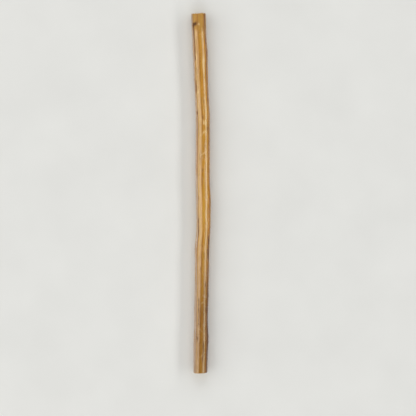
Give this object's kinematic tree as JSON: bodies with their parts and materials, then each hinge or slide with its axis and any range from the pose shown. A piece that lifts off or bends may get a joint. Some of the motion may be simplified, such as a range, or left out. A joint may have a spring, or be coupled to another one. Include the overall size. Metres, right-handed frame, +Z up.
{
  "type": "miswak stick",
  "caption": "Slender cut length of root with smooth, finely furrowed bark and two plain cut ends, used as a chewing stick for the teeth.",
  "frame": {"origin": "middle of the box round the stick, on the surface that it lies on", "axes": "+Y along the stick, towards the end that is uppermost in the picture; +Z up from the surface; +X to the picture's right"},
  "size_m": [0.0098, 0.18, 0.0074],
  "materials": {
    "bark": "satin",
    "cut_wood": "matte"
  },
  "bodies": {
    "root": {"stick": "bark"}
  },
  "joints": []
}
